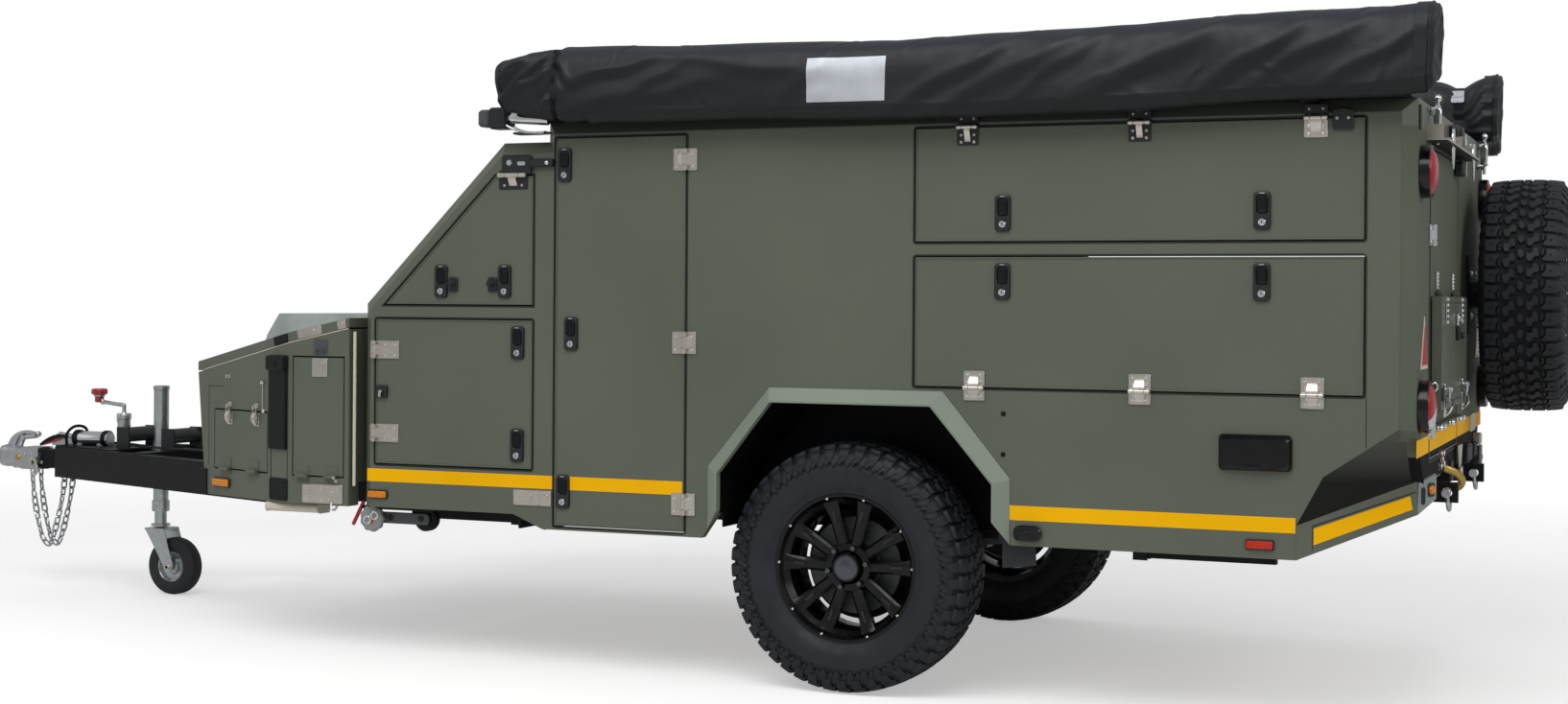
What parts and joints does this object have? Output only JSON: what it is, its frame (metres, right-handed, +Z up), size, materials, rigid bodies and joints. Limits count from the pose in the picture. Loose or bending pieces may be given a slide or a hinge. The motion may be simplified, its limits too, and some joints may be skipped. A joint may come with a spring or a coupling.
{
  "type": "off-road caravan",
  "caption": "Off-road caravan with a hollow panelled body, hinged side hatches, lidded nose box, sprung axle, drawbar and jockey wheel, parked level.",
  "frame": {"origin": "centre of the bounding box on the ground plane", "axes": "+X from the coupling towards the tail, +Y to the right-hand side looking rearward along the tow direction reversed, +Z up"},
  "size_m": [6.205, 2.256, 2.0013],
  "materials": {
    "body_paint": "satin paint",
    "flare_paint": "satin paint",
    "cowl_grey": "moulded",
    "floor_board": "sealed board",
    "stainless": "brushed",
    "frame_steel": "black paint",
    "cast_silver": "plated",
    "drum_iron": "as cast",
    "rim_black": "gloss black",
    "tyre": "matte",
    "jockey_rubber": "matte",
    "bag_fabric": "coated fabric",
    "lamp_red": "gloss"
  },
  "bodies": {
    "caravan": {"side_panel_left": "body_paint", "side_panel_right": "body_paint", "front_wall": "body_paint", "roof_panel": "body_paint", "rear_wall": "body_paint", "floor_panel": "floor_board", "rear_corners": "body_paint", "wheel_arches": "flare_paint", "fixed_hinges": "stainless", "nose_box": "body_paint", "rear_shelf": "stainless", "tail_lights": "lamp_red", "rear_bumper": "frame_steel", "awning_bags": "bag_fabric", "chassis_frame": "frame_steel", "drawbar": "frame_steel", "coupling": "cast_silver", "axle_beam": "frame_steel", "leaf_springs": "frame_steel", "spare_carrier": "frame_steel", "spare_rim": "rim_black", "spare_tyre": "tyre", "jockey_mast": "stainless", "crank_post": "stainless", "overrun_damper": "stainless", "drawbar_rollers": "frame_steel"},
    "entry_door": {"entry_door": "body_paint"},
    "front_hatch_left": {"front_hatch_left": "body_paint"},
    "window_hatch_left": {"window_hatch_left": "body_paint"},
    "upper_hatch_left": {"upper_hatch_left": "body_paint"},
    "lower_hatch_left": {"lower_hatch_left": "body_paint"},
    "nose_side_door_left": {"nose_side_door_left": "body_paint"},
    "nose_rear_door_left": {"nose_rear_door_left": "body_paint"},
    "wheel_left": {"tyre_left": "tyre", "rim_left": "rim_black", "hub_left": "drum_iron"},
    "steady_front_left": {"steady_front_left": "frame_steel"},
    "steady_rear_left": {"steady_rear_left": "frame_steel"},
    "front_hatch_right": {"front_hatch_right": "body_paint"},
    "window_hatch_right": {"window_hatch_right": "body_paint"},
    "upper_hatch_right": {"upper_hatch_right": "body_paint"},
    "lower_hatch_right": {"lower_hatch_right": "body_paint"},
    "nose_side_door_right": {"nose_side_door_right": "body_paint"},
    "nose_rear_door_right": {"nose_rear_door_right": "body_paint"},
    "wheel_right": {"tyre_right": "tyre", "rim_right": "rim_black", "hub_right": "drum_iron"},
    "steady_front_right": {"steady_front_right": "frame_steel"},
    "steady_rear_right": {"steady_rear_right": "frame_steel"},
    "nose_lid": {"nose_lid": "body_paint", "nose_cowl": "cowl_grey"},
    "rear_door": {"rear_door": "body_paint"},
    "rear_flap": {"rear_flap": "body_paint"},
    "jockey_leg": {"jockey_leg": "stainless"},
    "jockey_fork": {"jockey_fork": "frame_steel"},
    "jockey_wheel": {"jockey_wheel": "jockey_rubber"}
  },
  "joints": [
    {"name": "entry_door_swing", "type": "hinge", "parent": "caravan", "child": "entry_door", "pos_m": [0.5745, -1.012, 1.1], "axis": [0, 0, 1], "range_deg": [0, 110]},
    {"name": "front_hatch_swing_left", "type": "hinge", "parent": "caravan", "child": "front_hatch_left", "pos_m": [-0.5725, -1.012, 0.898], "axis": [0, 0, -1], "range_deg": [0, 95]},
    {"name": "window_hatch_lift_left", "type": "hinge", "parent": "caravan", "child": "window_hatch_left", "pos_m": [-0.0475, -1.012, 1.61], "axis": [-1, 0, 0], "range_deg": [0, 85]},
    {"name": "upper_hatch_lift_left", "type": "hinge", "parent": "caravan", "child": "upper_hatch_left", "pos_m": [1.9895, -1.012, 1.728], "axis": [-1, 0, 0], "range_deg": [0, 88]},
    {"name": "lower_hatch_drop_left", "type": "hinge", "parent": "caravan", "child": "lower_hatch_left", "pos_m": [1.9895, -1.012, 0.954], "axis": [1, 0, 0], "range_deg": [0, 90]},
    {"name": "nose_side_door_drop_left", "type": "hinge", "parent": "caravan", "child": "nose_side_door_left", "pos_m": [-1.19912, -0.91209, 0.603], "axis": [0.9397, -0.342, 0], "range_deg": [0, 90]},
    {"name": "nose_rear_door_drop_left", "type": "hinge", "parent": "caravan", "child": "nose_rear_door_left", "pos_m": [-0.8015, -1.012, 0.603], "axis": [1, 0, 0], "range_deg": [0, 90]},
    {"name": "wheel_spin_left", "type": "hinge", "parent": "caravan", "child": "wheel_left", "pos_m": [1.0875, -0.8225, 0.388], "axis": [0, 1, 0], "continuous": true},
    {"name": "steady_front_drop_left", "type": "hinge", "parent": "caravan", "child": "steady_front_left", "pos_m": [-0.1875, -0.7, 0.462], "axis": [0, -1, 0], "range_deg": [0, 85]},
    {"name": "steady_rear_drop_left", "type": "hinge", "parent": "caravan", "child": "steady_rear_left", "pos_m": [1.9675, -0.74, 0.462], "axis": [0, 1, 0], "range_deg": [0, 85]},
    {"name": "front_hatch_swing_right", "type": "hinge", "parent": "caravan", "child": "front_hatch_right", "pos_m": [-0.5725, 1.012, 0.898], "axis": [0, 0, 1], "range_deg": [0, 95]},
    {"name": "window_hatch_lift_right", "type": "hinge", "parent": "caravan", "child": "window_hatch_right", "pos_m": [-0.0475, 1.012, 1.61], "axis": [1, 0, 0], "range_deg": [0, 85]},
    {"name": "upper_hatch_lift_right", "type": "hinge", "parent": "caravan", "child": "upper_hatch_right", "pos_m": [1.9895, 1.012, 1.728], "axis": [1, 0, 0], "range_deg": [0, 88]},
    {"name": "lower_hatch_drop_right", "type": "hinge", "parent": "caravan", "child": "lower_hatch_right", "pos_m": [1.9895, 1.012, 0.954], "axis": [-1, 0, 0], "range_deg": [0, 90]},
    {"name": "nose_side_door_drop_right", "type": "hinge", "parent": "caravan", "child": "nose_side_door_right", "pos_m": [-1.19912, 0.91209, 0.603], "axis": [-0.9397, -0.342, 0], "range_deg": [0, 90]},
    {"name": "nose_rear_door_drop_right", "type": "hinge", "parent": "caravan", "child": "nose_rear_door_right", "pos_m": [-0.8015, 1.012, 0.603], "axis": [-1, 0, 0], "range_deg": [0, 90]},
    {"name": "wheel_spin_right", "type": "hinge", "parent": "caravan", "child": "wheel_right", "pos_m": [1.0875, 0.8225, 0.388], "axis": [0, 1, 0], "continuous": true},
    {"name": "steady_front_drop_right", "type": "hinge", "parent": "caravan", "child": "steady_front_right", "pos_m": [-0.1875, 0.7, 0.462], "axis": [0, -1, 0], "range_deg": [0, 85]},
    {"name": "steady_rear_drop_right", "type": "hinge", "parent": "caravan", "child": "steady_rear_right", "pos_m": [1.9675, 0.74, 0.462], "axis": [0, 1, 0], "range_deg": [0, 85]},
    {"name": "nose_lid_lift", "type": "hinge", "parent": "caravan", "child": "nose_lid", "pos_m": [-0.6625, 0, 1.152], "axis": [0, 1, 0], "range_deg": [0, 70]},
    {"name": "rear_door_swing", "type": "hinge", "parent": "caravan", "child": "rear_door", "pos_m": [2.7945, -0.665, 1.21], "axis": [0, 0, -1], "range_deg": [0, 85]},
    {"name": "rear_flap_lift", "type": "hinge", "parent": "rear_door", "child": "rear_flap", "pos_m": [2.7945, -0.275, 1.243], "axis": [0, -1, 0], "range_deg": [0, 90]},
    {"name": "jockey_leg_wind", "type": "slide", "parent": "caravan", "child": "jockey_leg", "axis": [0, 0, 1], "range_m": [-0.18, 0.045]},
    {"name": "jockey_fork_swivel", "type": "hinge", "parent": "jockey_leg", "child": "jockey_fork", "pos_m": [-2.2725, 0, 0.264], "axis": [0, 0, 1], "continuous": true},
    {"name": "jockey_wheel_spin", "type": "hinge", "parent": "jockey_fork", "child": "jockey_wheel", "pos_m": [-2.1975, 0, 0.115], "axis": [0, 1, 0], "continuous": true}
  ]
}
